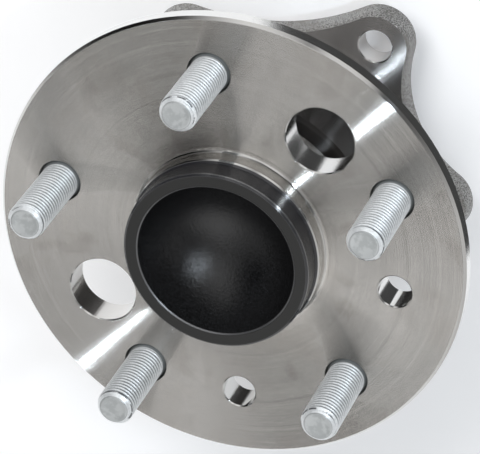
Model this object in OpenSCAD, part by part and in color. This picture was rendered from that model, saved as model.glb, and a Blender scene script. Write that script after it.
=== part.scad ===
// Non-driven wheel hub and bearing unit, five studs, four-bolt housing flange.
// The origin is the centre of the wheel flange's outboard face, +Z points outboard along the
// spin axis, and +X runs through one wheel stud. Sizes are in millimetres.

/* [Wheel flange] */
// Diameter of the wheel flange
flange_d = 151.8; // [148:0.1:170]
// Thickness of the flange where the studs sit
flange_t = 10.6; // [9:0.1:13]
// Thickness of the flange at its rim
rim_t = 5.5; // [4:0.1:7]
// Width of the chamfer round the outboard edge of the rim
rim_chamfer = 1.0; // [0.5:0.1:2]

/* [Wheel studs] */
// Pitch circle diameter of the wheel studs
stud_pcd = 114.3; // [108:0.1:120]
// Number of wheel studs
stud_count = 5; // [4:1:5]
// Thread diameter of the wheel studs
stud_thread_d = 12; // [10:0.5:13]
// Diameter of the knurled shank, pressed into the flange
stud_knurl_d = 14.1; // [13.5:0.1:15.5]
// Depth of the open mouth of the stud hole in front of the knurl
stud_mouth = 3.0; // [1:0.1:5]
// Diameter of the plain collar between the knurl and the thread
stud_collar_d = 12.7; // [12:0.1:13.4]
// Length of stud that stands out of the flange face
stud_reach = 29.3; // [20:0.1:50]
// Diameter of the flat end of the stud
stud_end_d = 8.8; // [7:0.1:9.8]
// Diameter of the stud head
stud_head_d = 18; // [16:0.1:20]
// Thickness of the stud head
stud_head_t = 3.2; // [2:0.1:5]

/* [Pilots] */
// Diameter of the pilot that centres the wheel
wheel_pilot_d = 60; // [56:0.1:61.5]
// Height of the wheel pilot above the flange face
wheel_pilot_h = 13.5; // [10:0.1:20]
// Diameter of the pilot that centres the brake disc
rotor_pilot_d = 62; // [61.6:0.1:66]
// Height of the disc pilot above the flange face
rotor_pilot_h = 6.2; // [4:0.1:8]
// Radius of the hollow forged into the pilot
dish_r = 26; // [22:0.1:27]
// Depth of the hollow below the front of the pilot
dish_depth = 20.5; // [12:0.1:24]

/* [Holes in the wheel flange] */
// Diameter of the two access holes for the housing bolts
access_d = 21.8; // [18:0.1:23]
// Angle of each access hole from the stud on +X
access_angle = 101.5; // [98:0.5:106]
// Diameter of the two small holes
small_hole_d = 10.7; // [8:0.1:12]
// Radius from the axis to the small holes
small_hole_r = 54.2; // [50:0.1:58]
// Angle of each small hole from the stud on +X
small_hole_angle = 39; // [34:0.5:42]
// Width of the chamfers at the mouths of these holes
hole_chamfer = 0.4; // [0.2:0.1:0.8]

/* [Rolling bearing] */
// Diameter of the balls
ball_d = 12; // [11:0.1:12.6]
// Balls in each row
ball_count = 12; // [8:1:12]
// Pitch circle diameter of the balls
pitch_d = 53; // [52:0.5:56]
// Depth of the outboard row behind the flange face
row_depth = 36; // [34:0.5:40]
// Distance between the two rows
row_spread = 28; // [24:0.5:32]
// Height of the loaded raceway shoulders above the groove
high_shoulder = 3.9; // [3:0.1:4.2]
// Height of the open raceway shoulders above the groove
low_shoulder = 1.0; // [0.6:0.1:1.6]
// Free play between a ball and its raceway, on the radius
ball_play = 0.1; // [0.06:0.01:0.14]

/* [Cages and seal] */
// Play between a ball and its cage pocket, on the radius
pocket_play = 0.15; // [0.1:0.01:0.3]
// Thickness of the cage ring beside the balls
cage_ring_t = 2.0; // [1.2:0.1:2.4]
// Thickness of the seal's sheet steel
seal_sheet_t = 1.0; // [0.6:0.1:1.2]
// Running gap at the tips of the seal lips
lip_gap = 0.25; // [0.15:0.01:0.4]

/* [Spindle] */
// Diameter of the seat of the inner ring
ring_seat_d = 30; // [26:0.5:33]
// Width of the inner ring
ring_w = 17; // [16:0.5:20]
// Thread diameter of the spindle
spindle_thread_d = 24; // [20:0.5:26]
// Width across the flats of the lock nut
nut_af = 36; // [32:0.5:37]
// Diameter of the lock nut's washer face
nut_flange_d = 42; // [38:0.5:43]
// Thickness of the lock nut
nut_t = 7.5; // [6:0.1:10]

/* [Bearing housing] */
// Wall of the housing outside the raceways
barrel_wall = 5.4; // [4:0.1:6]
// Depth of the outboard face of the housing flange behind the wheel flange face
mount_depth = 64.5; // [60:0.5:68]
// Thickness of the housing flange
mount_t = 8.3; // [7:0.1:10]
// Wall of the spigot that enters the knuckle
spigot_wall = 5.4; // [4:0.1:6]
// Bolt circle diameter of the housing, also the circle of the access holes
bolt_circle_d = 98.6; // [97:0.1:104]
// Diameter of the clearance holes for the housing bolts
bolt_hole_d = 11; // [10:0.1:13]
// Metal round each bolt hole
lobe_wall = 6.1; // [5:0.1:8]
// Angle of the two near lobes from the housing's centre line
near_lobe_angle = 36.3; // [34:0.1:42]
// Angle of the two far lobes from the housing's centre line
far_lobe_angle = 119.3; // [112:0.1:124]
// Ledge of the flange outside the barrel, halfway between lobes
waist_ledge = 4.4; // [3:0.1:6]
// Angle of the housing's centre line from +X, as it stands at rest
housing_turn = 68.2; // [0:0.1:359]

/* [End cap] */
// Thickness of the cap's sheet steel
cap_t = 1.2; // [0.8:0.1:2]
// Depth of the cap's wall in the housing bore
cap_wall_h = 7.5; // [5:0.1:9]
// Space between the cap and the end of the spindle
cap_gap = 0.8; // [0.5:0.1:2]
// Depth of the cap below the end of the spigot
cap_recess = 0.8; // [0.4:0.1:2]

/* [Hidden] */
$fn = 96;

BALL_NUMBERS = [for (i = [1 : ball_count]) i];

// Radii of the rolling bearing
ball_r = ball_d / 2;
pitch_r = pitch_d / 2;
groove_r = ball_r + ball_play;
outer_groove_r = pitch_r + groove_r;
inner_groove_r = pitch_r - groove_r;
outer_high_r = outer_groove_r - high_shoulder;
housing_bore_r = outer_groove_r - low_shoulder;
inner_high_r = inner_groove_r + high_shoulder;
inner_low_r = inner_groove_r + low_shoulder;
land_step = 1.2;
seal_land_r = inner_high_r + land_step;

// Heights along the axis
row1_z = -row_depth;
row2_z = row1_z - row_spread;
end_overhang = 8;
barrel_end_z = row1_z + ball_r + end_overhang;
hub_gap = 2.2;
boss_z = barrel_end_z + hub_gap;
ring_lead = 8;
ring_front_z = row2_z + ring_lead;
ring_back_z = ring_front_z - ring_w;
nut_back_z = ring_back_z - nut_t;
spindle_tip = 1.0;
spindle_end_z = nut_back_z - spindle_tip;
cap_face_z = spindle_end_z - cap_gap - cap_t;
spigot_end_z = cap_face_z - cap_recess;
mount_front_z = -mount_depth;
mount_z = mount_front_z - mount_t;

// Radii of the hub forging
flange_r = flange_d / 2;
wheel_pilot_r = wheel_pilot_d / 2;
rotor_pilot_r = rotor_pilot_d / 2;
stud_circle_r = stud_pcd / 2;
head_seat_margin = 1.1;
back_r = min(stud_circle_r + stud_head_d / 2 + head_seat_margin, flange_r - 3 * rim_chamfer);
back_taper = 4;
rim_back_r = min(back_r + back_taper, flange_r - rim_chamfer);
rim_back_chamfer = 0.4;
boss_ledge = 2.2;
boss_r = housing_bore_r + boss_ledge;
boss_draft = 1.2;
boss_bevel = 1.2;
boss_fillet = 2.5;
pilot_chamfer = 0.7;
pilot_base_fillet = 1.6;
face_step = 0.2;
dish_chamfer = 0.5;
dish_centre_z = wheel_pilot_h - dish_depth + dish_r;
dish_mouth_r = sqrt(dish_r * dish_r - pow(dish_centre_z - wheel_pilot_h, 2));
land_fillet = 1.5;
spindle_r = inner_low_r;
ring_seat_r = ring_seat_d / 2;
spindle_thread_r = spindle_thread_d / 2;
thread_chamfer = 1.0;
seat_relief = 0.6;
slot_w = 4;
slot_depth = 1.8;
centre_hole_r = 4;
centre_hole_tip_r = 0.6;

// Radii of the housing
barrel_r = outer_groove_r + barrel_wall;
barrel_draft = 0.8;
barrel_fillet = 3;
barrel_chamfer = 1.2;
spigot_r = housing_bore_r + spigot_wall;
spigot_chamfer = 1.5;
undercut_w = 0.8;
undercut_h = 0.5;
bolt_circle_r = bolt_circle_d / 2;
bolt_hole_r = bolt_hole_d / 2;
lobe_r = bolt_hole_r + lobe_wall;
waist_r = barrel_r + waist_ledge;
far_fillet_r = 26;
arc_lap = 0.02;
LOBE_ANGLES = [near_lobe_angle, far_lobe_angle, -far_lobe_angle, -near_lobe_angle];
bore_chamfer = 0.5;

// Height and radii of the outboard seal
seal_recess = 0.4;
seal_w = 4.8;
lip_room = 2.6;
seal_front_z = barrel_end_z - seal_recess;
seal_back_z = seal_front_z - seal_w;
web_inner_r = seal_land_r + lip_room;

// The raised rim and foot of the flange's forged edge: [inset from the outline, height]
EDGE = [[0.9, 0], [0.25, 0.45], [0, 1.3], [0.45, mount_t - 1.8], [0.75, mount_t - 0.7], [1.25, mount_t]];

// A point at a radius and an angle
function polar(r, a) = [r * cos(a), r * sin(a)];

// Distance from the axis to the centre of the arc between two lobes, each half_gap from its
// middle, that touches both lobes and comes down to the waist
function gap_arc_r(half_gap) =
    let (c = bolt_circle_r * cos(half_gap))
    (waist_r * waist_r + bolt_circle_r * bolt_circle_r - 2 * waist_r * c - lobe_r * lobe_r)
    / (2 * (lobe_r - waist_r + c));

// Rounds the inner corner at p, which the section fills with a bevel of the same size r;
// up is 1 or -1, the way the open quarter beside the corner points along the axis
module corner_round(p, r, up) {
    translate([p[0] + r, p[1] + up * r]) circle(r);
}

// A drilled hole from z0 up to z1 with a chamfer at each mouth
module drilled(r, z0, z1, chamfer) {
    translate([0, 0, z0 - 1]) cylinder(r = r, h = z1 - z0 + 2);
    translate([0, 0, z1 - chamfer]) cylinder(r1 = r, r2 = r + 2 * chamfer, h = 2 * chamfer);
    translate([0, 0, z0 - chamfer]) cylinder(r1 = r + 2 * chamfer, r2 = r, h = 2 * chamfer);
}

// The groove that a row of balls runs in
module ball_groove(z) {
    rotate_extrude() translate([pitch_r, z]) circle(groove_r);
}

// Half section of the hub forging: pilots, flange, boss, seal land and spindle
module hub_section() {
    foot = [rotor_pilot_r, face_step];
    boss_foot = [boss_r + boss_draft, -flange_t];
    land_foot = [seal_land_r, boss_z];
    difference() {
        polygon([
            [0, wheel_pilot_h],
            [wheel_pilot_r - pilot_chamfer, wheel_pilot_h],
            [wheel_pilot_r, wheel_pilot_h - pilot_chamfer],
            [wheel_pilot_r, rotor_pilot_h],
            [rotor_pilot_r, rotor_pilot_h - (rotor_pilot_r - wheel_pilot_r)],
            foot + [0, pilot_base_fillet],
            foot + [pilot_base_fillet, 0],
            [rotor_pilot_r + pilot_base_fillet, 0],
            [flange_r - rim_chamfer, 0],
            [flange_r, -rim_chamfer],
            [flange_r, -rim_t + rim_back_chamfer],
            [flange_r - rim_back_chamfer, -rim_t],
            [rim_back_r, -rim_t],
            [back_r, -flange_t],
            boss_foot + [boss_fillet, 0],
            boss_foot - [0, boss_fillet],
            [boss_r + boss_bevel, boss_z + boss_bevel],
            [boss_r, boss_z],
            land_foot + [land_fillet, 0],
            land_foot - [0, land_fillet],
            [seal_land_r, row1_z + groove_r + land_step],
            [inner_high_r, row1_z + groove_r],
            [inner_high_r, row1_z],
            [inner_low_r, row1_z],
            [spindle_r, ring_front_z],
            [ring_seat_r, ring_front_z],
            [ring_seat_r, ring_back_z + seat_relief],
            [spindle_thread_r, ring_back_z + seat_relief],
            [spindle_thread_r, spindle_end_z + thread_chamfer],
            [spindle_thread_r - thread_chamfer, spindle_end_z],
            [0, spindle_end_z]
        ]);
        corner_round(foot, pilot_base_fillet, 1);
        corner_round(boss_foot, boss_fillet, -1);
        corner_round(land_foot, land_fillet, -1);
    }
}

module wheel_hub() {
    color("darkgray") difference() {
        rotate_extrude() hub_section();
        translate([0, 0, dish_centre_z]) sphere(dish_r);
        translate([0, 0, wheel_pilot_h - dish_chamfer])
            cylinder(r1 = dish_mouth_r, r2 = dish_mouth_r + 2 * dish_chamfer, h = 2 * dish_chamfer);
        ball_groove(row1_z);
        for (i = [0 : stud_count - 1]) rotate(i * 360 / stud_count) translate([stud_circle_r, 0, 0])
            translate([0, 0, -flange_t - 1]) cylinder(d = stud_knurl_d, h = flange_t + 2);
        for (side = [-1, 1]) {
            rotate(side * access_angle) translate([bolt_circle_r, 0, 0])
                drilled(access_d / 2, -flange_t, 0, hole_chamfer);
            rotate(side * small_hole_angle) translate([small_hole_r, 0, 0])
                drilled(small_hole_d / 2, -flange_t, 0, hole_chamfer);
        }
        translate([spindle_thread_r - slot_depth, -slot_w / 2, spindle_end_z - 1])
            cube([slot_depth + 1, slot_w, nut_t / 2 + spindle_tip + 1]);
        translate([0, 0, spindle_end_z - centre_hole_r])
            cylinder(r1 = 2 * centre_hole_r - centre_hole_tip_r, r2 = centre_hole_tip_r, h = 2 * centre_hole_r);
    }
}

// One wheel stud: chamfered thread, plain collar, knurled shank and head
module wheel_stud() {
    thread_r = stud_thread_d / 2;
    tip_h = thread_r - stud_end_d / 2;
    collar_r = stud_collar_d / 2;
    collar_round = 0.7;
    head_edge = 0.8;
    rotate_extrude() polygon([
        [0, stud_reach],
        [stud_end_d / 2, stud_reach],
        [thread_r, stud_reach - tip_h],
        [thread_r, collar_round],
        [collar_r - collar_round / 2, 0],
        [collar_r, -collar_round],
        [collar_r, -stud_mouth],
        [stud_knurl_d / 2, -stud_mouth],
        [stud_knurl_d / 2, -flange_t],
        [stud_head_d / 2, -flange_t],
        [stud_head_d / 2, -flange_t - stud_head_t + head_edge],
        [stud_head_d / 2 - head_edge, -flange_t - stud_head_t],
        [0, -flange_t - stud_head_t]
    ]);
}

module wheel_studs() {
    color("gainsboro")
        for (i = [0 : stud_count - 1]) rotate(i * 360 / stud_count) translate([stud_circle_r, 0, 0]) wheel_stud();
}

module inner_ring() {
    ring_chamfer = 0.8;
    color("lightsteelblue") difference() {
        rotate_extrude() polygon([
            [ring_seat_r, ring_front_z],
            [inner_low_r - ring_chamfer, ring_front_z],
            [inner_low_r, ring_front_z - ring_chamfer],
            [inner_low_r, row2_z],
            [inner_high_r, row2_z],
            [inner_high_r, ring_back_z + ring_chamfer],
            [inner_high_r - ring_chamfer, ring_back_z],
            [ring_seat_r + ring_chamfer, ring_back_z],
            [ring_seat_r, ring_back_z + ring_chamfer]
        ]);
        ball_groove(row2_z);
    }
}

// Hexagon nut with a round washer face and a thin collar, staked into the spindle's slot
module lock_nut() {
    collar_h = 2.2;
    collar_wall = 1.6;
    washer_t = 1.2;
    corner_cut = 1.4;
    stake_wall = 1.1;
    stake_play = 0.4;
    corner_r = nut_af / 2 / cos(30);
    color("slategray") difference() {
        union() {
            translate([0, 0, nut_back_z + collar_h])
                intersection() {
                    cylinder(r = corner_r, h = nut_t - collar_h - washer_t / 2, $fn = 6);
                    cylinder(r1 = corner_r - corner_cut, r2 = corner_r + nut_t, h = nut_t + corner_cut);
                }
            translate([0, 0, ring_back_z - washer_t]) cylinder(d = nut_flange_d, h = washer_t);
            translate([0, 0, nut_back_z])
                cylinder(r = spindle_thread_r + collar_wall, h = nut_t);
        }
        translate([0, 0, nut_back_z - 1]) cylinder(r = spindle_thread_r, h = nut_t + 2);
        translate([spindle_thread_r + stake_wall, -slot_w / 2, nut_back_z - 1])
            cube([collar_wall, slot_w, collar_h + stake_play]);
    }
    color("slategray") intersection() {
        translate([spindle_thread_r - slot_depth, -slot_w / 2, nut_back_z])
            cube([slot_depth + stake_wall, slot_w, collar_h]);
        translate([0, 0, nut_back_z]) cylinder(r = spindle_thread_r + collar_wall / 2, h = collar_h);
    }
}

// Half section of the housing without its lobes
module housing_section() {
    barrel_foot = [barrel_r + barrel_draft, mount_front_z];
    difference() {
        polygon([
            [0, barrel_end_z],
            [barrel_r - barrel_chamfer, barrel_end_z],
            [barrel_r, barrel_end_z - barrel_chamfer],
            barrel_foot + [0, barrel_fillet],
            barrel_foot + [barrel_fillet, 0],
            [barrel_foot[0] + barrel_fillet, mount_z + barrel_fillet],
            [barrel_foot[0], mount_z],
            [spigot_r, mount_z],
            [spigot_r, spigot_end_z + spigot_chamfer],
            [spigot_r - spigot_chamfer / 2, spigot_end_z],
            [0, spigot_end_z]
        ]);
        corner_round(barrel_foot, barrel_fillet, 1);
        polygon([
            [0, barrel_end_z + 1],
            [housing_bore_r + bore_chamfer, barrel_end_z + 1],
            [housing_bore_r + bore_chamfer, barrel_end_z],
            [housing_bore_r, barrel_end_z - bore_chamfer],
            [housing_bore_r, row1_z],
            [outer_high_r, row1_z],
            [outer_high_r, row2_z],
            [housing_bore_r, row2_z],
            [housing_bore_r, spigot_end_z + bore_chamfer],
            [housing_bore_r + bore_chamfer, spigot_end_z],
            [housing_bore_r + bore_chamfer, spigot_end_z - 1],
            [0, spigot_end_z - 1]
        ]);
    }
}

// A round post with the flange's forged edge
module edged_post(r) {
    rotate_extrude() polygon(concat(
        [[0, 0]], [for (e = EDGE) [r - e[0], e[1]]], [[0, mount_t]]));
}

// The space outside a concave arc of radius r, with the flange's forged edge; it runs arc_lap
// into the posts the arc touches, so that their walls cross
module edged_cut(r) {
    cut_r = r + arc_lap;
    rotate_extrude() polygon(concat(
        [[0, -1], [cut_r + EDGE[0][0], -1]],
        [for (e = EDGE) [cut_r + e[0], e[1]]],
        [[cut_r + EDGE[len(EDGE) - 1][0], mount_t + 1], [0, mount_t + 1]]));
}

// The web between two lobes that stand half_gap either side of the angle mid
module web(mid, half_gap) {
    arc_r = gap_arc_r(half_gap);
    centre = polar(waist_r + arc_r, mid);
    difference() {
        linear_extrude(mount_t) polygon([
            [0, 0],
            polar(bolt_circle_r, mid - half_gap),
            centre,
            polar(bolt_circle_r, mid + half_gap)
        ]);
        translate([centre[0], centre[1], 0]) edged_cut(arc_r);
    }
}

// The fillet from a lobe at the angle a to the round waist, on the side that side points to
module far_fillet(a, side) {
    away = waist_r + far_fillet_r;
    turn = acos((away * away + bolt_circle_r * bolt_circle_r - pow(lobe_r + far_fillet_r, 2))
        / (2 * away * bolt_circle_r));
    centre = polar(away, a + side * turn);
    difference() {
        linear_extrude(mount_t) polygon([[0, 0], polar(bolt_circle_r, a), centre]);
        translate([centre[0], centre[1], 0]) edged_cut(far_fillet_r);
    }
}

// The four-lobed mounting flange, standing on the mounting face
module mounting_flange() {
    between = (far_lobe_angle - near_lobe_angle) / 2;
    edged_post(waist_r);
    for (a = LOBE_ANGLES) translate(polar(bolt_circle_r, a)) edged_post(lobe_r);
    web(0, near_lobe_angle);
    for (side = [-1, 1]) {
        web(side * (near_lobe_angle + between), between);
        far_fillet(side * far_lobe_angle, side);
    }
}

module bearing_housing() {
    color("dimgray") rotate(housing_turn) difference() {
        union() {
            rotate_extrude() housing_section();
            difference() {
                translate([0, 0, mount_z]) mounting_flange();
                translate([0, 0, mount_z - 1]) cylinder(r = outer_groove_r + 1, h = mount_t + 2);
            }
        }
        ball_groove(row1_z);
        ball_groove(row2_z);
        rotate_extrude() translate([spigot_r, mount_z - undercut_h]) square([undercut_w, 2 * undercut_h]);
        for (a = LOBE_ANGLES) translate(polar(bolt_circle_r, a))
            drilled(bolt_hole_r, mount_z, mount_front_z, hole_chamfer);
    }
}

// Sheet steel ring pressed into the housing bore
module seal_case() {
    bend = 0.4;
    color("silver") rotate_extrude() polygon([
        [housing_bore_r, seal_front_z],
        [housing_bore_r - seal_sheet_t, seal_front_z],
        [housing_bore_r - seal_sheet_t, seal_back_z + seal_sheet_t],
        [web_inner_r, seal_back_z + seal_sheet_t],
        [web_inner_r, seal_back_z],
        [housing_bore_r - bend, seal_back_z],
        [housing_bore_r, seal_back_z + bend]
    ]);
}

// Rubber moulded to the case: a lip on the boss face and a lip on the seal land
module seal_lips() {
    case_r = housing_bore_r - seal_sheet_t;
    base_z = seal_back_z + seal_sheet_t;
    tip_z = boss_z - lip_gap;
    lip_t = 0.8;
    root_z = base_z + 1.5 * lip_t;
    bead_z = base_z + 2.75 * lip_t;
    color("black") rotate_extrude() polygon([
        [case_r, bead_z],
        [case_r - lip_t, bead_z],
        [case_r + lip_t / 2, tip_z],
        [case_r - lip_t / 2, tip_z],
        [case_r - 2 * lip_t, root_z],
        [web_inner_r - lip_t, root_z],
        [seal_land_r + lip_t, bead_z],
        [seal_land_r + lip_gap, bead_z - lip_t],
        [seal_land_r + lip_t, base_z],
        [web_inner_r - lip_t, seal_back_z],
        [web_inner_r, seal_back_z],
        [web_inner_r, base_z],
        [case_r, base_z]
    ]);
}

// One row's cage: a crown whose ring lies on the side that side points to, with prongs that
// reach round the balls; heights named _s run from the balls' centres towards the ring
module cage(z, side) {
    pocket_r = ball_r + pocket_play;
    prong_t = 3.2;
    hub_room = 0.6;
    housing_room = 1.2;
    pocket_floor = 0.2;
    prong_inner_r = pitch_r - prong_t / 2;
    prong_outer_r = pitch_r + prong_t / 2;
    ring_inner_r = seal_land_r + hub_room;
    ring_outer_r = housing_bore_r - housing_room;
    ring_s = pocket_r + pocket_floor;
    tip_s = -0.72 * ball_r;
    inner_root_s = 0.8 * pocket_r;
    outer_root_s = 0.62 * pocket_r;
    difference() {
        rotate_extrude() polygon([for (p = [
            [prong_inner_r, tip_s],
            [prong_outer_r, tip_s],
            [prong_outer_r, outer_root_s],
            [ring_outer_r, ring_s],
            [ring_outer_r, ring_s + cage_ring_t],
            [ring_inner_r, ring_s + cage_ring_t],
            [ring_inner_r, ring_s],
            [prong_inner_r, inner_root_s]
        ]) [p[0], z + side * p[1]]]);
        for (i = BALL_NUMBERS) ball_place(i, z) sphere(pocket_r, $fn = 64);
    }
}

module ball_place(i, z) {
    rotate((i - 0.5) * 360 / ball_count) translate([pitch_r, 0, z]) children();
}

module outboard_cage() {
    color("saddlebrown") cage(row1_z, 1);
}

module inboard_cage() {
    color("saddlebrown") cage(row2_z, -1);
}

module ball(i, z) {
    color("white") ball_place(i, z) sphere(ball_r, $fn = 64);
}

// Pressed steel cap in the inboard end of the housing bore, with a raised middle
module end_cap() {
    bend = 1.2;
    middle_r = 0.6 * housing_bore_r;
    step_h = 0.6;
    inner_z = cap_face_z + cap_t;
    color("lightgray") rotate_extrude() polygon([
        [0, cap_face_z],
        [middle_r, cap_face_z],
        [middle_r + step_h, cap_face_z + step_h],
        [housing_bore_r - bend - step_h, cap_face_z + step_h],
        [housing_bore_r, cap_face_z + step_h + bend],
        [housing_bore_r, cap_face_z + cap_wall_h],
        [housing_bore_r - cap_t, cap_face_z + cap_wall_h],
        [housing_bore_r - cap_t, inner_z + step_h + bend / 2],
        [housing_bore_r - cap_t - bend / 2, inner_z + step_h],
        [middle_r + step_h, inner_z + step_h],
        [middle_r, inner_z],
        [0, inner_z]
    ]);
}

wheel_hub();
wheel_studs();
inner_ring();
lock_nut();
bearing_housing();
seal_case();
seal_lips();
outboard_cage();
inboard_cage();
end_cap();
for (i = BALL_NUMBERS) {
    ball(i, row1_z);
    ball(i, row2_z);
}
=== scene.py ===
# %% [markdown]
# A wheel hub bearing, dressed for its portrait
#
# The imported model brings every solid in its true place, in metres, with +Z out of the wheel
# face. This lesson leaves those solids where they are. It cuts real threads on the studs and
# gives each surface the finish that its maker left on it: turned, drilled, forged or plated.

# %% Load the solids
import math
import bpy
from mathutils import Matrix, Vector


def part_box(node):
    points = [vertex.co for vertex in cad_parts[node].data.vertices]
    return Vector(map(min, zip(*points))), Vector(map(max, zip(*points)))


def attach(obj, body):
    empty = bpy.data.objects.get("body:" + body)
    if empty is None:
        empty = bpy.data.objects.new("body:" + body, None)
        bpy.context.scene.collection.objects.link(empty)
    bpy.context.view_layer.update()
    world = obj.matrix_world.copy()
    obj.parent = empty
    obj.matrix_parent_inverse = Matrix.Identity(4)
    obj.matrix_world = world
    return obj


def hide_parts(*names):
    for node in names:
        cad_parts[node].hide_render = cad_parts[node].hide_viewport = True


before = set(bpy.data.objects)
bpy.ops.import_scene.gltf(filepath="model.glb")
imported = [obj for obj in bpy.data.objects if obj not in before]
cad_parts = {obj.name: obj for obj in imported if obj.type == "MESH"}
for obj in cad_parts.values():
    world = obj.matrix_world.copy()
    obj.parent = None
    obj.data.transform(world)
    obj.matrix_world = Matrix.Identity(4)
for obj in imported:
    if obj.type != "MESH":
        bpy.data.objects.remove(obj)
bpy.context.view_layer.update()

# %% [markdown]
# Units and directions
#
# A drawing of a hub is in millimetres and this scene is in metres, so a length is written as
# millimetres times MM. The camera, the lamps and the bright patches of the room are placed by
# two angles each, because these are easier to read and to nudge than three coordinates.

MM = 0.001


def direction(azimuth, elevation):
    """A unit vector from two angles in degrees, azimuth from +X towards +Y."""
    a, e = math.radians(azimuth), math.radians(elevation)
    return Vector((math.cos(e) * math.cos(a), math.cos(e) * math.sin(a), math.sin(e)))


# %% [markdown]
# The camera
#
# The photographer stood about a metre away, above one side of the hub, and turned the camera,
# so the far side of the flange is at the lower left. A long lens keeps the circles near to true
# ellipses. The camera is set by two angles, a distance and a roll, which read more easily than
# a matrix.

# %% Camera
VIEW_AZIMUTH = 107.5831
VIEW_ELEVATION = 55.7476
VIEW_ROLL = -145.0923
VIEW_DISTANCE = 1.02633
VIEW_AIM = Vector((-1.135, 4.442, -3.117)) * MM
SENSOR_MM = 36.0
LENS_MM = 248.696
FARTHEST_SEEN = 20.0

towards_camera = direction(VIEW_AZIMUTH, VIEW_ELEVATION)
upright = (-towards_camera).to_track_quat("-Z", "Y").to_matrix()
roll = Matrix.Rotation(math.radians(VIEW_ROLL), 3, "Z")
lens = bpy.data.cameras.new("portrait_lens")
lens.lens = LENS_MM
lens.sensor_width = SENSOR_MM
lens.clip_end = FARTHEST_SEEN
camera = bpy.data.objects.new("portrait_camera", lens)
camera.location = VIEW_AIM + VIEW_DISTANCE * towards_camera
camera.rotation_euler = (upright @ roll).to_euler()
bpy.context.scene.collection.objects.link(camera)
bpy.context.scene.camera = camera
bpy.context.scene.view_settings.view_transform = "Standard"
print("camera at", [round(v, 3) for v in camera.location])

# %% [markdown]
# Small helpers for nodes
#
# A finish is a little network of nodes. Written out in full it is long, so a short class adds
# nodes and joins them. Its moves read like a recipe: beyond, within and band pick out a zone of
# the part, and mix chooses between two numbers or two colours by such a zone. A zone is a share
# from 0 to 1, and an edge is a pair of numbers between which the share changes softly.


# %% Node helpers
def is_colour(value):
    return isinstance(value, tuple) or getattr(value, "type", "") == "RGBA"


def with_alpha(value):
    """A colour gets its fourth number, and anything else stays as it is."""
    return value + (1.0,) if isinstance(value, tuple) else value


class Network:
    """A tree of nodes, and the few moves needed to build it."""

    def __init__(self, tree):
        self.tree = tree

    def add(self, kind, **settings):
        node = self.tree.nodes.new(kind)
        for setting, value in settings.items():
            setattr(node, setting, value)
        return node

    def join(self, source, target):
        """Links a socket to the target, or writes a plain value into it."""
        if hasattr(source, "is_output"):
            self.tree.links.new(source, target)
        else:
            target.default_value = source

    def math(self, operation, a, b=0.0, c=0.0):
        node = self.add("ShaderNodeMath", operation=operation)
        for value, socket in zip((a, b, c), node.inputs):
            self.join(value, socket)
        return node.outputs[0]

    def ramp(self, value, low, high, out_low=0.0, out_high=1.0):
        """Goes smoothly from out_low to out_high while value goes from low to high."""
        node = self.add("ShaderNodeMapRange", interpolation_type="SMOOTHSTEP")
        for number, socket in zip((value, low, high, out_low, out_high), node.inputs):
            self.join(number, socket)
        return node.outputs[0]

    def beyond(self, value, edge):
        """0 before an edge and 1 after it."""
        return self.ramp(value, edge[0], edge[1])

    def within(self, value, edge):
        """1 before an edge and 0 after it."""
        return self.ramp(value, edge[0], edge[1], 1.0, 0.0)

    def band(self, value, low, high, blur):
        """1 between low and high, and 0 outside."""
        rise = self.beyond(value, (low - blur, low + blur))
        fall = self.within(value, (high - blur, high + blur))
        return self.math("MULTIPLY", rise, fall)

    def mix(self, share, a, b):
        """All a where the share is 0 and all b where it is 1."""
        kind = "RGBA" if is_colour(a) or is_colour(b) else "FLOAT"
        node = self.add("ShaderNodeMix", data_type=kind)
        sockets = [socket for socket in node.inputs if socket.enabled]
        for value, socket in zip((share, with_alpha(a), with_alpha(b)), sockets):
            self.join(value, socket)
        return [socket for socket in node.outputs if socket.enabled][0]


# %% [markdown]
# A finish
#
# A finish is one material. Every surface of it asks first where it is on the part, so the class
# starts from the part's own coordinates: x, y, z and the distance from an axis. A picture wrapped
# round the part could do the same, but it would blur close up and show a seam. Noise brings the
# small unevenness that each way of making leaves, and relief turns it into bumps too low to
# model. A second shader lets one piece carry two coats.


# %% Finish builder
NOISE_EDGE = (0.3, 0.7)


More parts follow.
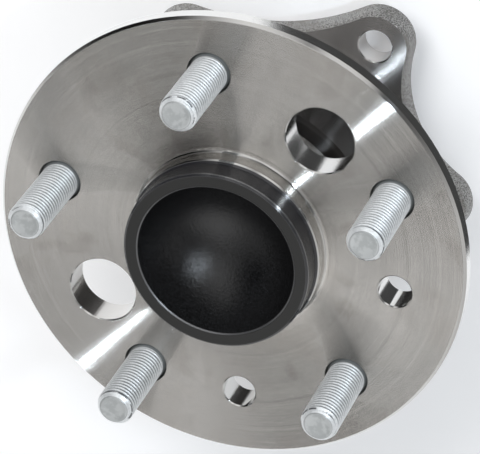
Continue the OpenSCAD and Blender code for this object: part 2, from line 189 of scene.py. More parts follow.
class Finish(Network):
    """One material, laid out in the part's own coordinates."""

    def __init__(self, name):
        self.material = bpy.data.materials.new(name)
        self.material.use_nodes = True
        super().__init__(self.material.node_tree)
        self.shader = self.tree.nodes["Principled BSDF"]
        self.place = self.add("ShaderNodeTexCoord").outputs["Object"]
        split = self.add("ShaderNodeSeparateXYZ")
        self.join(self.place, split.inputs[0])
        self.x, self.y, self.z = split.outputs

    def radius(self, x=0.0, y=0.0):
        """Distance from an axis along Z through x, y."""
        dx = self.math("SUBTRACT", self.x, x)
        dy = self.math("SUBTRACT", self.y, y)
        squares = self.math("ADD", self.math("MULTIPLY", dx, dx), self.math("MULTIPLY", dy, dy))
        return self.math("SQRT", squares)

    def vector(self, x, y, z):
        node = self.add("ShaderNodeCombineXYZ")
        for value, socket in zip((x, y, z), node.inputs):
            self.join(value, socket)
        return node.outputs[0]

    def noise(self, scale, detail, rough, place=None):
        node = self.add("ShaderNodeTexNoise")
        self.join(place or self.place, node.inputs["Vector"])
        node.inputs["Scale"].default_value = scale
        node.inputs["Detail"].default_value = detail
        node.inputs["Roughness"].default_value = rough
        return node.outputs["Fac"]

    def spread(self, noise, low=0.0, high=1.0):
        """Noise keeps near its middle. This stretches it over the range from low to high."""
        return self.ramp(noise, *NOISE_EDGE, low, high)

    def peaks(self, noise, start, full, strength=1.0):
        """Keeps only the peaks of a noise, for scattered patches."""
        return self.ramp(noise, start, full, 0.0, strength)

    def relief(self, height, distance):
        node = self.add("ShaderNodeBump")
        self.join(height, node.inputs["Height"])
        node.inputs["Distance"].default_value = distance
        return node.outputs[0]

    def second(self, share):
        """A second shader, which shows where share is 1."""
        other = self.add("ShaderNodeBsdfPrincipled")
        mixer = self.add("ShaderNodeMixShader")
        for source, socket in zip((share, self.shader.outputs[0], other.outputs[0]), mixer.inputs):
            self.join(source, socket)
        self.join(mixer.outputs[0], self.tree.nodes["Material Output"].inputs["Surface"])
        return other

    def set(self, shader=None, **sockets):
        """Fills the named sockets of a shader. An underscore stands for a space."""
        shader = shader or self.shader
        for name, value in sockets.items():
            self.join(with_alpha(value), shader.inputs[name.replace("_", " ")])
        return self.material


# %% [markdown]
# Turned and drilled steel
#
# A cutter leaves a spiral of fine grooves. They are far too fine to model, yet they decide how
# steel looks: the walls of a groove tip the light across it and never along it, so the mirror
# image of a lamp is drawn out into a bright spoke. Roughness alone would blur it both ways. So
# a noise in one dimension tips the surface across the grooves, and the shader's own stretched
# highlight is aimed the same way.


# %% Grooves round an axis
GROOVES_PER_METRE = 90000.0
WALL_TO_FACE = (0.3, 0.5)
QUARTER_TURN = 0.25


class TurnedFinish(Finish):
    """A finish with grooves that run round an axis along Z."""

    def vector_math(self, operation, a, b=None, scale=None):
        node = self.add("ShaderNodeVectorMath", operation=operation)
        self.join(a, node.inputs[0])
        if b is not None:
            self.join(b, node.inputs[1])
        if scale is not None:
            self.join(scale, node.inputs["Scale"])
        return node.outputs["Vector"]

    def along_grooves(self, centre_x, centre_y):
        """The direction in which a groove runs, square to the line from its axis."""
        dx = self.math("SUBTRACT", self.x, centre_x)
        dy = self.math("SUBTRACT", self.y, centre_y)
        turn = self.add("ShaderNodeVectorTransform", vector_type="VECTOR",
                        convert_from="OBJECT", convert_to="WORLD")
        self.join(self.vector(self.math("MULTIPLY", dy, -1.0), dx, 0.0), turn.inputs[0])
        return self.vector_math("NORMALIZE", turn.outputs[0])

    def groove_tilt(self, out, centre_x, centre_y, steep):
        """Grooves follow one another outwards on a face, and upwards on a wall."""
        facing = self.add("ShaderNodeSeparateXYZ")
        self.join(out, facing.inputs[0])
        is_face = self.beyond(self.math("ABSOLUTE", facing.outputs["Z"]), WALL_TO_FACE)
        groove = self.add("ShaderNodeTexNoise", noise_dimensions="1D")
        self.join(self.mix(is_face, self.z, self.radius(centre_x, centre_y)), groove.inputs["W"])
        groove.inputs["Scale"].default_value = GROOVES_PER_METRE
        groove.inputs["Detail"].default_value = 1.0
        return self.math("MULTIPLY", self.spread(groove.outputs["Fac"], -1.0, 1.0), steep)

    def grooves(self, centre_x, centre_y, steep):
        """Cuts grooves round the axis. A steeper groove draws a highlight out further."""
        along = self.along_grooves(centre_x, centre_y)
        out = self.add("ShaderNodeNewGeometry").outputs["Normal"]
        across = self.vector_math("CROSS_PRODUCT", out, along)
        tilt = self.groove_tilt(out, centre_x, centre_y, steep)
        tipped = self.vector_math("ADD", out, self.vector_math("SCALE", across, scale=tilt))
        self.join(self.vector_math("NORMALIZE", tipped), self.shader.inputs["Normal"])
        self.join(along, self.shader.inputs["Tangent"])
        self.shader.inputs["Anisotropic"].default_value = 1.0
        self.shader.inputs["Anisotropic Rotation"].default_value = QUARTER_TURN


# %% [markdown]
# The walls of drilled holes
#
# A drill leaves its grooves round its own axis, not round the hub's. So each point must know
# whether it is on the wall of a hole, and of which one. Every hole adds its own share and its own
# axis, and as no two holes are close together, the sums are those of the nearest hole.


# %% Walls of holes
def hole_walls(f, holes, reach):
    """The share of drilled wall at a point, and the axis of the drill that cut it."""
    walls, drill_x, drill_y = 0.0, 0.0, 0.0
    for distance, angle, hole_r in holes:
        x = distance * math.cos(math.radians(angle))
        y = distance * math.sin(math.radians(angle))
        near = f.within(f.radius(x, y), (hole_r + reach[0], hole_r + reach[1]))
        walls = f.math("ADD", walls, near)
        drill_x = f.math("MULTIPLY_ADD", near, x, drill_x)
        drill_y = f.math("MULTIPLY_ADD", near, y, drill_y)
    return walls, drill_x, drill_y


# %% [markdown]
# Where things are on the hub
#
# One forging carries several finishes. They could be separate materials on separate faces, but
# the drawing's faces don't end where every finish ends. So the finishes are laid out by distance
# from the spin axis and by height, as a turner would mark them. The lengths are the part's own.

# %% Zones of the hub
FLANGE_R = 75.9 * MM
RIM_CHAMFER = 1.0 * MM
PILOT_R = 30.0 * MM
LAND_R = 31.0 * MM
LAND_TOP = 5.6 * MM
FLANGE_BACK = -10.6 * MM
LARGE_HOLE = (49.3 * MM, 101.5, 10.9 * MM)
SMALL_HOLE = (54.2 * MM, 39.0, 5.35 * MM)
HUB_HOLES = [(distance, side * angle, hole_r)
             for distance, angle, hole_r in (LARGE_HOLE, SMALL_HOLE) for side in (1, -1)]
HOLE_REACH = (0.3 * MM, 0.6 * MM)

FACE_EDGE = (-0.1 * MM, -0.02 * MM)
RIM_EDGE = (FLANGE_R - RIM_CHAMFER, FLANGE_R - 0.8 * RIM_CHAMFER)
LAND_EDGE = (LAND_TOP - 0.05 * MM, LAND_TOP + 0.05 * MM)
LAND_FOOT = (0.05 * MM, 0.4 * MM)
LAND_FILLET = (LAND_R + 0.2 * MM, LAND_R + 1.4 * MM)
PILOT_FRONT = (PILOT_R - 0.9 * MM, PILOT_R - 0.7 * MM)
BLACK_BACK = (FLANGE_BACK, FLANGE_BACK + 1.0 * MM)
HOLLOW_EDGE = (25.2 * MM, 25.6 * MM)
print("holes in the hub:", len(HUB_HOLES))

# %% [markdown]
# The steel of the wheel face
#
# The wheel face is bare turned steel. Rings of slightly different grey run round it, as a cutter
# leaves them, and handling has left warm stains. Dark smears over it are painted reflection: they
# stand for the studs mirrored in the face. The rings are a noise that knows only the distance
# from the axis. The smears are a noise that is drawn out round it. The rim, the land and the
# walls of the holes are cut finer, so they are brighter.

# %% Turned colour
RINGS_SCALE = 2600.0
STEEL = ((0.57, 0.555, 0.53), (0.595, 0.58, 0.555))
FINE_STEEL = ((0.72, 0.71, 0.69), (0.82, 0.81, 0.79))
STAIN = (0.48, 0.44, 0.40)
# Painted reflection: the colour of the dark smears that stand for the studs mirrored in the face.
PAINTED_REFLECTION_SMEAR = (0.36, 0.33, 0.30)
STAINS_SCALE = 38.0
REFLECTION_SMEARS_ROUND = 5.0
REFLECTION_SMEARS_OUTWARDS = 60.0
REFLECTION_SMEARS_SLICE = 3.7


def turned_colour(f, r, rings, fine):
    stains = f.noise(STAINS_SCALE, detail=3.0, rough=0.55)
    around = f.math("MULTIPLY", f.math("ARCTAN2", f.y, f.x), REFLECTION_SMEARS_ROUND)
    outwards = f.math("MULTIPLY", r, REFLECTION_SMEARS_OUTWARDS)
    painted_reflection_smears = f.noise(1.0, detail=2.0, rough=0.5, place=f.vector(around, outwards, REFLECTION_SMEARS_SLICE))
    steel = f.mix(f.spread(rings), *STEEL)
    steel = f.mix(f.peaks(stains, 0.45, 0.75, strength=0.30), steel, STAIN)
    # Painted reflection: dark smears that stand for the studs mirrored in the face.
    steel = f.mix(f.peaks(painted_reflection_smears, 0.52, 0.75, strength=0.30), steel, PAINTED_REFLECTION_SMEAR)
    return f.mix(fine, steel, f.mix(rings, *FINE_STEEL))


# %% [markdown]
# The black of the pilot
#
# The pilot, which centres the wheel, is turned and then blacked. Its hollow was left as it was
# forged, so the black is grainy there and a highlight stays a soft round patch instead of a
# spoke. That calls for a second shader without grooves. A thin line round the mouth of the
# hollow has lost its black and shines.

# %% Forged black
GRAIN_SCALE = 1500.0
GRAIN_DEPTH = 0.13 * MM
GRAINY_BLACK = ((0.003, 0.003, 0.003), (0.012, 0.012, 0.013))
HOLLOW_ROUGHNESS = (0.14, 0.23)
FRONT_BLACK = (0.006, 0.006, 0.0055)
FRONT_ROUGHNESS = 0.36
MOUTH_LINE = (25.45 * MM, 25.8 * MM)
MOUTH_BLUR = 0.06 * MM
MOUTH_STEEL = (0.20, 0.20, 0.205)
MOUTH_METAL = 0.8
BLACK_IOR = 1.5


def forged_black(f, r, share, above_land):
    hollow = f.within(r, HOLLOW_EDGE)
    mouth = f.math("MULTIPLY", f.band(r, *MOUTH_LINE, MOUTH_BLUR), above_land)
    grain = f.noise(GRAIN_SCALE, detail=4.0, rough=0.6)
    skin = f.mix(hollow, FRONT_BLACK, f.mix(f.spread(grain), *GRAINY_BLACK))
    return f.set(f.second(share), Base_Color=f.mix(mouth, skin, MOUTH_STEEL), IOR=BLACK_IOR,
                 Roughness=f.mix(hollow, FRONT_ROUGHNESS, f.spread(grain, *HOLLOW_ROUGHNESS)),
                 Metallic=f.math("MULTIPLY", mouth, MOUTH_METAL),
                 Normal=f.relief(f.math("MULTIPLY", grain, hollow), GRAIN_DEPTH))


# %% [markdown]
# The hub forging
#
# Now the zones meet the finishes. Steep grooves on the wheel face draw out a highlight, while
# the fine cuts of the rim, the land and the holes stay almost mirrors. The outside of the pilot
# keeps a low sheen round its grooves, and its chamfer shows a thin line of steel where the black
# has rubbed off.

# %% Hub finish
GROOVE_STEEPNESS = 0.95
FINE_STEEPNESS = 0.03
BLACK_STEEPNESS = 0.16
FACE_ROUGHNESS = (0.16, 0.19)
FINE_ROUGHNESS = 0.08
COAT_ROUGHNESS = 0.18
COAT = ((0.010, 0.010, 0.012), (0.024, 0.024, 0.027))
COAT_IOR = 1.8
RUBBED_STEEL = (0.30, 0.30, 0.30)
RUBBED_LINE = (-17.4 * MM, -16.9 * MM)
RUBBED_BLUR = 0.12 * MM


def hub_finish():
    f = TurnedFinish("turned_and_coated_steel")
    r = f.radius()
    walls, drill_x, drill_y = hole_walls(f, HUB_HOLES, HOLE_REACH)
    walls = f.math("MULTIPLY", walls, f.within(f.z, FACE_EDGE))
    land = f.math("MULTIPLY", f.within(r, LAND_FILLET), f.beyond(f.z, LAND_FOOT))
    fine = f.math("MAXIMUM", f.math("MAXIMUM", land, walls), f.beyond(r, RIM_EDGE))
    above_land = f.beyond(f.z, LAND_EDGE)
    forged = f.math("MULTIPLY", f.within(r, PILOT_FRONT), f.beyond(f.z, BLACK_BACK))
    black = f.math("MAXIMUM", above_land, forged)
    # Height less distance from the axis grows steadily across a chamfer of 45 degrees.
    rubbed = f.band(f.math("SUBTRACT", f.z, r), *RUBBED_LINE, RUBBED_BLUR)

    rings = f.noise(RINGS_SCALE, detail=3.0, rough=0.7, place=f.vector(r, 0.0, 0.0))
    steel = turned_colour(f, r, rings, fine)
    coat = f.mix(rubbed, f.mix(rings, *COAT), RUBBED_STEEL)
    steel_rough = f.mix(fine, f.spread(rings, *FACE_ROUGHNESS), FINE_ROUGHNESS)
    steel_steep = f.mix(fine, GROOVE_STEEPNESS, FINE_STEEPNESS)
    f.grooves(drill_x, drill_y, f.mix(black, steel_steep, BLACK_STEEPNESS))
    f.set(Base_Color=f.mix(black, steel, coat), Metallic=f.mix(black, 1.0, rubbed), IOR=COAT_IOR,
          Roughness=f.mix(black, steel_rough, COAT_ROUGHNESS))
    return forged_black(f, r, forged, above_land)


hub_material = hub_finish()
print("nodes of the hub's finish:", len(hub_material.node_tree.nodes))

# %% [markdown]
# The bearing housing
#
# The housing is a forging too. Its edge keeps the grainy skin of the forge, blasted with shot,
# which sparkles in the light. The front of its flange is turned about the spin axis, so the spoke
# of light crosses it as well. The barrel is turned and dark, and the bolt holes are drilled. The
# way is the hub's: zones by height and distance, grooves on what is cut, a second shader on what
# is raw.

# %% Zones of the housing
HOUSING_TURN = 68.2
LOBE_TURNS = (36.3, 119.3, -119.3, -36.3)
BOLT_CIRCLE = 49.3 * MM
BOLT_HOLE_R = 5.5 * MM
BOLT_HOLES = [(BOLT_CIRCLE, HOUSING_TURN + turn, BOLT_HOLE_R) for turn in LOBE_TURNS]
BOLT_HOLE_REACH = (0.3 * MM, 0.5 * MM)
LOBE_FACE = -64.5 * MM
LOBE_FACE_BLUR = 0.02 * MM
BARREL_FOOT = (LOBE_FACE + 0.3 * MM, LOBE_FACE + 0.8 * MM)
SPIGOT_EDGE = (-72.2 * MM, -72.0 * MM)

# %% Housing finish
FACED_STEEPNESS = 1.3
FACED_ROUGHNESS = (0.20, 0.26)
FACED_STEEL = ((0.46, 0.44, 0.43), (0.56, 0.545, 0.53))
DRILLED_STEEL = (0.60, 0.59, 0.58)
BARREL_BLACK = ((0.020, 0.018, 0.017), (0.075, 0.070, 0.066))
BARREL_METAL = 0.5
RAW_STEEL = ((0.09, 0.085, 0.08), (0.60, 0.59, 0.57))
RAW_PATCH = (0.22, 0.20, 0.18)
RAW_METAL = 0.6
RAW_ROUGHNESS = (0.30, 0.50)
RAW_DEPTH = 0.40 * MM


def blasted_forging(f, share):
    grain = f.noise(2200.0, detail=4.0, rough=0.7)
    patches = f.noise(120.0, detail=3.0, rough=0.6)
    raw = f.mix(f.peaks(grain, 0.38, 0.62), *RAW_STEEL)
    raw = f.mix(f.peaks(patches, 0.45, 0.7, strength=0.6), raw, RAW_PATCH)
    return f.set(f.second(share), Base_Color=raw, Metallic=RAW_METAL,
                 Roughness=f.spread(grain, *RAW_ROUGHNESS), Normal=f.relief(grain, RAW_DEPTH))


def housing_finish():
    f = TurnedFinish("raw_forging_with_cut_faces")
    walls, drill_x, drill_y = hole_walls(f, BOLT_HOLES, BOLT_HOLE_REACH)
    face = f.band(f.z, LOBE_FACE - LOBE_FACE_BLUR, BARREL_FOOT[0], LOBE_FACE_BLUR)
    barrel = f.beyond(f.z, BARREL_FOOT)
    spigot = f.within(f.z, SPIGOT_EDGE)
    cut = f.math("MAXIMUM", f.math("MAXIMUM", face, barrel), f.math("MAXIMUM", walls, spigot))

    rings = f.noise(2200.0, detail=3.0, rough=0.7, place=f.vector(f.radius(), 0.0, 0.0))
    turns = f.noise(1600.0, detail=3.0, rough=0.7, place=f.vector(0.0, 0.0, f.z))
    steel = f.mix(walls, f.mix(rings, *FACED_STEEL), DRILLED_STEEL)
    f.grooves(drill_x, drill_y, f.mix(walls, FACED_STEEPNESS, FINE_STEEPNESS))
    f.set(Base_Color=f.mix(barrel, steel, f.mix(turns, *BARREL_BLACK)),
          Roughness=f.mix(walls, f.spread(rings, *FACED_ROUGHNESS), FINE_ROUGHNESS),
          Metallic=f.mix(barrel, 1.0, BARREL_METAL))
    return blasted_forging(f, f.math("SUBTRACT", 1.0, cut))


housing_material = housing_finish()
print("nodes of the housing's finish:", len(housing_material.node_tree.nodes))

# %% [markdown]
# The parts inside
#
# Balls, rings, cages and seal are hidden once the unit is closed. They still get their own
# finish, since a reader may open the model: polished balls, ground races, amber nylon cages,
# pressed sheet and black rubber. Colour, roughness and relief of each follow one fine noise,
# which is enough for a surface that has a single way of making.


# %% Hidden finishes
def grained_finish(name, dark, light, metal, rough, scale=700.0, depth=0.02 * MM):
    """From dark to light and from smooth to rough along one fine noise."""
    f = Finish(name)
    grain = f.noise(scale, detail=4.0, rough=0.6)
    return f.set(Base_Color=f.mix(f.spread(grain), dark, light), Metallic=metal,
                 Roughness=f.spread(grain, *rough), Normal=f.relief(grain, depth))


ball_material = grained_finish(
    "polished_ball", dark=(0.74, 0.75, 0.77), light=(0.82, 0.83, 0.85),
    metal=1.0, rough=(0.05, 0.10), scale=300.0, depth=0.002 * MM)
race_material = grained_finish(
    "ground_race", dark=(0.58, 0.58, 0.60), light=(0.70, 0.70, 0.72),
    metal=1.0, rough=(0.16, 0.26), scale=1500.0, depth=0.005 * MM)
nut_material = grained_finish(
    "phosphated_nut", dark=(0.10, 0.10, 0.10), light=(0.17, 0.17, 0.165),
    metal=0.8, rough=(0.40, 0.55))
cap_material = grained_finish(
    "zinc_plated_cap", dark=(0.52, 0.52, 0.51), light=(0.64, 0.64, 0.63),
    metal=1.0, rough=(0.26, 0.36), scale=1400.0, depth=0.004 * MM)
# The seal's sheet is blacked, and it is kept this dark also as painted shade for the narrow gap it
# sits in.
seal_sheet_material = grained_finish(
    "blacked_seal_sheet_and_painted_shade", dark=(0.03, 0.03, 0.03), light=(0.06, 0.06, 0.06),
    metal=0.3, rough=(0.40, 0.52), scale=500.0, depth=0.01 * MM)
rubber_material = grained_finish(
    "moulded_rubber", dark=(0.020, 0.020, 0.021), light=(0.034, 0.034, 0.035),
    metal=0.0, rough=(0.50, 0.66), scale=1200.0)
cage_material = grained_finish(
    "amber_nylon", dark=(0.42, 0.29, 0.13), light=(0.54, 0.39, 0.19),
    metal=0.0, rough=(0.36, 0.50), scale=900.0)

# %% [markdown]
# Give out the finishes
#
# Each solid's name says what it is, and the twelve balls of a row share the start of theirs. So
# a short table from the start of a name to a material covers all of them. The plain studs get
# none, because threaded ones take their place.

# %% Give out the finishes
BY_START = {
    "wheel_hub": hub_material, "bearing_housing": housing_material, "inner_ring": race_material,
    "lock_nut": nut_material, "seal_case": seal_sheet_material, "seal_lips": rubber_material,
    "end_cap": cap_material, "outboard_cage": cage_material, "inboard_cage": cage_material,
    "outboard_ball": ball_material, "inboard_ball": ball_material,
}
dressed = 0
for name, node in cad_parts.items():
    found = [material for start, material in BY_START.items() if name.startswith(start)]
    if found:
        node.data.materials.clear()
        node.data.materials.append(found[0])
        dressed += 1
print("solids with a finish:", dressed, "of", len(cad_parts))

# %% [markdown]
# Wheel studs with real threads
#
# A rolled M12 thread has a 1.5 mm pitch, so some nineteen turns show above the face. The drawing
# leaves it plain. A bump would vanish at the outline, so the ridge is cut in the mesh: each
# point's radius follows its height less its share of a turn. Below the thread come the plain
# collar, the neck that is pressed into the flange, and the head behind it.

# %% Thread shape
STUD_R = 6.0 * MM
STUD_TIP = 29.3 * MM
THREAD_PITCH = 1.5 * MM
THREAD_DEPTH = 0.92 * MM
THREAD_START = 0.2 * MM
THREAD_RUN_IN = 0.4 * THREAD_PITCH
ROOT_SHARE = 0.10
FLANK_SHARE = 0.74


def clamp(value):
    return min(1.0, max(0.0, value))


def thread_radius(z, turn):
    """Radius of a 60 degree thread at a height and a share of a turn."""
    share = (z / THREAD_PITCH - turn) % 1.0
    slope = abs(2.0 * share - 1.0)
    ridge = clamp((slope - ROOT_SHARE) / FLANK_SHARE)
    run_in = clamp((z - THREAD_START) / THREAD_RUN_IN)
    return STUD_R - THREAD_DEPTH * (1.0 - ridge) * run_in


print("turns of thread on a stud:", round((STUD_TIP - THREAD_START) / THREAD_PITCH, 1))

# %% [markdown]
# From rings to a stud
#
# A stud is a stack of rings of points, from the tip down to the head. Each ring has a height and
# a rule for its radius: a fixed radius for the plain parts, and the thread's own rule between
# them. Fourteen rings to a turn are enough for the light to run smoothly over the ridge. A
# modifier that repeats one turn could do it too, but it couldn't end the thread in a chamfer.

# %% Rings of a stud
RINGS_PER_PITCH = 14
END_R = 4.4 * MM
END_ROUND = 0.15 * MM
END_CHAMFER = 0.5 * MM
CHAMFER_SLOPE = 1.05
COLLAR_R = 6.35 * MM
COLLAR_TOP = -0.35 * MM
COLLAR_FOOT = -3.0 * MM
NECK_R = 7.05 * MM
HEAD_R = 9.0 * MM
HEAD_FOOT = -13.8 * MM
SHARP_STEP = 0.05 * MM


def plain_outline():
    """Height and radius of each ring below the thread: collar, neck and head."""
    collar = [(THREAD_START, STUD_R), (COLLAR_TOP, COLLAR_R - 0.2 * MM),
              (COLLAR_TOP - 0.35 * MM, COLLAR_R), (COLLAR_FOOT, COLLAR_R)]
    neck = [(COLLAR_FOOT - SHARP_STEP, NECK_R), (FLANGE_BACK, NECK_R)]
    head = [(FLANGE_BACK - SHARP_STEP, HEAD_R - 0.3 * MM), (FLANGE_BACK - 0.3 * MM, HEAD_R),
            (HEAD_FOOT + 0.8 * MM, HEAD_R), (HEAD_FOOT + 0.25 * MM, HEAD_R - 0.35 * MM),
            (HEAD_FOOT, HEAD_R - 1.2 * MM)]
    return collar + neck + head


def threaded_radius(z, turn):
    """The thread, cut off by the chamfer at the tip."""
    return min(thread_radius(z, turn), END_R + (STUD_TIP - z) * CHAMFER_SLOPE)


def stud_rings():
    """Each ring's height and the rule for its radius, from the tip to the head."""
    end = [(STUD_TIP - END_ROUND, 0.55 * END_R), (STUD_TIP - 0.8 * END_ROUND, 0.9 * END_R),
           (STUD_TIP, END_R)]
    count = int((STUD_TIP - END_CHAMFER) / THREAD_PITCH * RINGS_PER_PITCH)
    heights = [STUD_TIP - i * THREAD_PITCH / RINGS_PER_PITCH for i in range(1, count + 1)]
    rings = [(z, lambda z, turn, r=r: r) for z, r in end]
    rings += [(z, threaded_radius) for z in heights]
    return rings + [(z, lambda z, turn, r=r: r) for z, r in plain_outline()]


# %% Stud mesh
STEPS_ROUND = 72


def stud_mesh():
    points, faces = [], []
    rings = stud_rings()
    for z, radius_at in rings:
        for k in range(STEPS_ROUND):
            turn = k / STEPS_ROUND
            r = radius_at(z, turn)
            points.append((r * math.cos(math.tau * turn), r * math.sin(math.tau * turn), z))
    for i in range(len(rings) - 1):
        here, below = i * STEPS_ROUND, (i + 1) * STEPS_ROUND
        for k in range(STEPS_ROUND):
            n = (k + 1) % STEPS_ROUND
            faces.append((here + n, here + k, below + k, below + n))
    faces.append(tuple(range(STEPS_ROUND)))
    faces.append(tuple(reversed(range(len(points) - STEPS_ROUND, len(points)))))
    mesh = bpy.data.meshes.new("threaded_stud")
    mesh.from_pydata(points, [], faces)
    mesh.validate()
    mesh.shade_smooth()
    return mesh


shared_stud = stud_mesh()
print("points in one stud:", len(shared_stud.vertices))

# %% [markdown]
# Bright zinc on the studs
#
# The studs are plated with zinc, which is pale and a little dull, with fine crystals. The root
# of the thread is painted darker, as painted shade where the ridges shade it. The first turn has
# a broken dark ring and the end is greyer. The collar, down in its hole below the face, is painted
# darker as painted shade too. Plating reflects as a metal does and scatters as a powder does, so
# its metallic share lies about halfway.

# %% Stud finish
ZINC = ((0.76, 0.78, 0.79), (0.92, 0.94, 0.95))
ZINC_PATCH = (0.66, 0.68, 0.69)
ZINC_ROUGHNESS = (0.34, 0.50)
ZINC_METAL = 0.55
ZINC_DEPTH = 0.03 * MM
# Painted shade for the root of the thread.
PAINTED_ROOT_SHADE = (0.05, 0.055, 0.06)
FIRST_TURN_SHADE = (0.12, 0.125, 0.13)
END_ZINC = ((0.36, 0.375, 0.375), (0.46, 0.475, 0.475))
# Painted shade for the collar, which sits down in its hole.
COLLAR_PAINTED_SHADE = (0.30, 0.32, 0.325)
ROOT_EDGE = (STUD_R - 0.8 * THREAD_DEPTH, STUD_R - 0.12 * THREAD_DEPTH)
THREADED = (0.4 * MM, STUD_TIP - 1.8 * MM)
FIRST_TURN = (STUD_TIP - 1.45 * MM, STUD_TIP - 1.15 * MM)
THREAD_BLUR = 0.1 * MM
END_EDGE = (STUD_TIP - 0.3 * MM, STUD_TIP - 0.2 * MM)
END_SHARE = 0.9
COLLAR_EDGE = (0.1 * MM, 0.3 * MM)


def stud_finish():
    f = Finish("bright_zinc_plate")
    fine = f.noise(1400.0, detail=4.0, rough=0.65)
    patches = f.noise(260.0, detail=3.0, rough=0.6)
    broken = f.peaks(patches, 0.42, 0.55)
    threaded = f.band(f.z, *THREADED, THREAD_BLUR)
    root = f.math("MULTIPLY", f.within(f.radius(), ROOT_EDGE), threaded)
    first_turn = f.math("MULTIPLY", f.band(f.z, *FIRST_TURN, THREAD_BLUR), broken)
    end = f.math("MULTIPLY", f.beyond(f.z, END_EDGE), END_SHARE)

    zinc = f.mix(f.spread(fine), *ZINC)
    zinc = f.mix(f.peaks(patches, 0.45, 0.7, strength=0.35), zinc, ZINC_PATCH)
    # Painted shade: the root of the thread is darkened where the ridges shade it.
    zinc = f.mix(root, zinc, PAINTED_ROOT_SHADE)
    zinc = f.mix(first_turn, zinc, FIRST_TURN_SHADE)
    zinc = f.mix(end, zinc, f.mix(broken, *END_ZINC))
    # Painted shade: the collar and everything below the face are darkened, as the hole shades
    # them.
    zinc = f.mix(f.within(f.z, COLLAR_EDGE), zinc, COLLAR_PAINTED_SHADE)
    return f.set(Base_Color=zinc, Roughness=f.spread(fine, *ZINC_ROUGHNESS), Metallic=ZINC_METAL,
                 Normal=f.relief(fine, ZINC_DEPTH))


shared_stud.materials.append(stud_finish())

# %% [markdown]
# Five studs on their circle
#
# The studs are pressed into the flange on a circle of 114.3 mm, each with its thread at a chance
# turn. All five share one mesh, and each is turned a little further than the last, so that no
# two look alike. They ride the hub and take the place of the plain studs.

# %% Place the studs
STUD_CIRCLE = 57.15 * MM
STUD_COUNT = 5
CHANCE_TURN = 1.3

for i in range(STUD_COUNT):
    angle = math.tau * i / STUD_COUNT
    stud = bpy.data.objects.new("wheel_stud_%d" % (i + 1), shared_stud)
    bpy.context.scene.collection.objects.link(stud)
    stud.location = (STUD_CIRCLE * math.cos(angle), STUD_CIRCLE * math.sin(angle), 0.0)
    stud.rotation_euler.z = angle + CHANCE_TURN * i
    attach(stud, "hub")
    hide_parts("wheel_studs")
print("studs placed:", STUD_COUNT)

# %% [markdown]
# The floor
#
# The hub stands on its back on a plain sweep of white paper. More light on the paper would be
# more light on the hub too, so the paper glows a little instead, and only the camera, mirrors
# and glass see that glow. The shadow still shows. The rings of the disc widen outwards, which
# spares faces where nothing is seen.

# %% Floor
FLOOR_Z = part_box("bearing_housing")[0].z
FLOOR_R = 2.5
FLOOR_RINGS = 12
FLOOR_STEPS = 96
PAPER = ((0.86, 0.865, 0.875), (0.90, 0.905, 0.915))
PAPER_GLOW = (0.97, 0.98, 1.0)
PAPER_ROUGHNESS = 0.9
FLOOR_GLOW = 0.18


def floor_mesh():
    points, faces = [(0.0, 0.0, 0.0)], []
    for i in range(1, FLOOR_RINGS + 1):
        r = FLOOR_R * (i / FLOOR_RINGS) ** 2
        for k in range(FLOOR_STEPS):
            a = math.tau * k / FLOOR_STEPS
            points.append((r * math.cos(a), r * math.sin(a), 0.0))
    for k in range(FLOOR_STEPS):
        n = (k + 1) % FLOOR_STEPS
        faces.append((0, 1 + k, 1 + n))
        for i in range(FLOOR_RINGS - 1):
            a, b = 1 + i * FLOOR_STEPS, 1 + (i + 1) * FLOOR_STEPS
            faces.append((a + k, b + k, b + n, a + n))
    mesh = bpy.data.meshes.new("paper_floor")
    mesh.from_pydata(points, [], faces)
    return mesh


def floor_finish():
    f = Finish("white_paper")
    fibre = f.noise(60.0, detail=3.0, rough=0.6)
    seen = f.add("ShaderNodeLightPath")
    shown = f.math("MAXIMUM", seen.outputs["Is Camera Ray"], seen.outputs["Is Glossy Ray"])
    shown = f.math("MAXIMUM", shown, seen.outputs["Is Transmission Ray"])
    f.set(Emission_Color=PAPER_GLOW, Emission_Strength=f.math("MULTIPLY", shown, FLOOR_GLOW))
    return f.set(Base_Color=f.mix(fibre, *PAPER), Roughness=PAPER_ROUGHNESS)


paper = bpy.data.objects.new("paper_floor", floor_mesh())
paper.data.materials.append(floor_finish())
paper.location.z = FLOOR_Z
bpy.context.scene.collection.objects.link(paper)
print("the hub stands on its back at z =", round(FLOOR_Z, 4))

# %% [markdown]
# A black card
#
# Steel that is cut fine is a mirror, and the walls of the holes look at the paper beyond the
# hub. With nothing but white there they would fade into the floor, so a black card lies where
# they look and gives them their dark stripes. Only mirrors see it, so the paper stays plain and
# no light is lost.

# %% Black card
CARD_CORNERS = [(-90, 60), (-22, 60), (-4, 80.5), (1, 80.5), (30, 55), (260, 55),
                (260, 420), (-90, 420)]
CARD_LIFT = 1.0 * MM
CARD_BLACK = ((0.045, 0.045, 0.045), (0.065, 0.065, 0.065))
CARD_ROUGHNESS = 0.9
CARD_SHEEN = 0.1


def card_mesh():
    mesh = bpy.data.meshes.new("black_card")
    points = [(x * MM, y * MM, 0.0) for x, y in CARD_CORNERS]
    mesh.from_pydata(points, [], [tuple(range(len(points)))])
    return mesh


def card_finish():
    f = Finish("black_card")
    fibre = f.noise(80.0, detail=3.0, rough=0.6)
    return f.set(Base_Color=f.mix(fibre, *CARD_BLACK), Roughness=CARD_ROUGHNESS,
                 Specular_IOR_Level=CARD_SHEEN)


card = bpy.data.objects.new("black_card", card_mesh())
card.data.materials.append(card_finish())
card.location.z = FLOOR_Z + CARD_LIFT
card.visible_camera = False
card.visible_diffuse = False
card.visible_shadow = False
bpy.context.scene.collection.objects.link(card)
print("corners of the card:", len(CARD_CORNERS))

# %% [markdown]
# Two lamps
#
# A tall, narrow key light hangs beside the camera and lays the bright spoke across the turned
# face. Its width sets the width of the spoke. A wide soft box at the upper left lights the studs
# and the paper, and throws the hub's shadow to the lower right. In the steel it would lay a
# second spoke, which the photograph doesn't show, so mirrors don't see it.


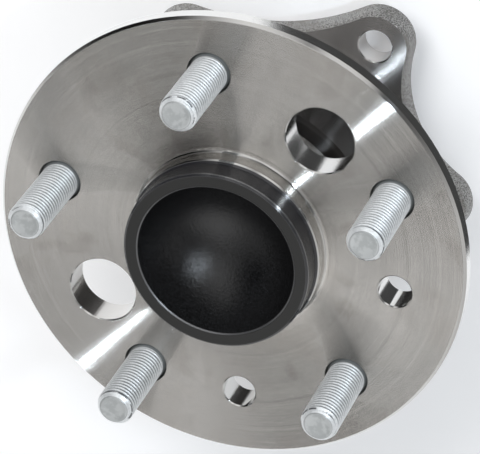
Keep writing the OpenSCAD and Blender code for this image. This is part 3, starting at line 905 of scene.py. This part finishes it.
# %% Lamps
def soft_light(name, azimuth, elevation, distance, size, watts, tint=(1.0, 1.0, 1.0)):
    """A rectangular soft box that hangs in a direction and faces the hub."""
    lamp = bpy.data.lights.new(name, "AREA")
    lamp.shape = "RECTANGLE"
    lamp.size, lamp.size_y = size
    lamp.energy = watts
    lamp.color = tint
    holder = bpy.data.objects.new(name, lamp)
    towards = direction(azimuth, elevation)
    holder.location = towards * distance
    holder.rotation_euler = (-towards).to_track_quat("-Z", "Y").to_euler()
    bpy.context.scene.collection.objects.link(holder)
    return holder


soft_light("key_beside_camera", azimuth=84, elevation=50, distance=0.95,
           size=(0.034, 0.20), watts=2.2, tint=(0.80, 0.90, 1.0))
broad_box = soft_light("broad_box", azimuth=144, elevation=46, distance=1.1,
                       size=(0.5, 0.5), watts=7.3)
broad_box.visible_glossy = False
print("lamps:", len(bpy.data.lights))

# %% [markdown]
# The room
#
# Metal shows what is round it, so an even grey room would leave the wheel face flat. The room
# has soft bright and dark patches instead, as a studio has windows and dark corners. Each patch
# is added to the grey where a direction is near to its middle. The first one is what most of the
# wheel face mirrors.

# %% Room
ROOM_LEVEL = 0.56
ROOM_WHITE = (1.0, 1.0, 1.0)
# Azimuth, elevation and half width in degrees, and the change of level.
ROOM_PATCHES = [(-30, 53, 34, 0.76), (150, 30, 25, 0.30), (95, 8, 60, -0.50),
                (-165, 22, 45, -0.55), (125, 55, 24, 0.60), (108, 33, 16, 0.60),
                (25, 50, 30, -0.35), (-135, 50, 30, -0.25)]


def room_light():
    world = bpy.data.worlds.new("grey_room")
    world.use_nodes = True
    room = Network(world.node_tree)
    back = room.tree.nodes["Background"]
    place = room.add("ShaderNodeTexCoord").outputs["Generated"]
    level = ROOM_LEVEL
    for azimuth, elevation, half_width, change in ROOM_PATCHES:
        nearness = room.add("ShaderNodeVectorMath", operation="DOT_PRODUCT")
        room.join(place, nearness.inputs[0])
        room.join(direction(azimuth, elevation), nearness.inputs[1])
        patch = room.ramp(nearness.outputs["Value"], math.cos(math.radians(half_width)), 1.0,
                          0.0, change)
        level = room.math("ADD", level, patch)
    room.join(level, back.inputs["Strength"])
    room.join(with_alpha(ROOM_WHITE), back.inputs["Color"])
    return world


bpy.context.scene.world = room_light()
print("patches in the room:", len(ROOM_PATCHES))
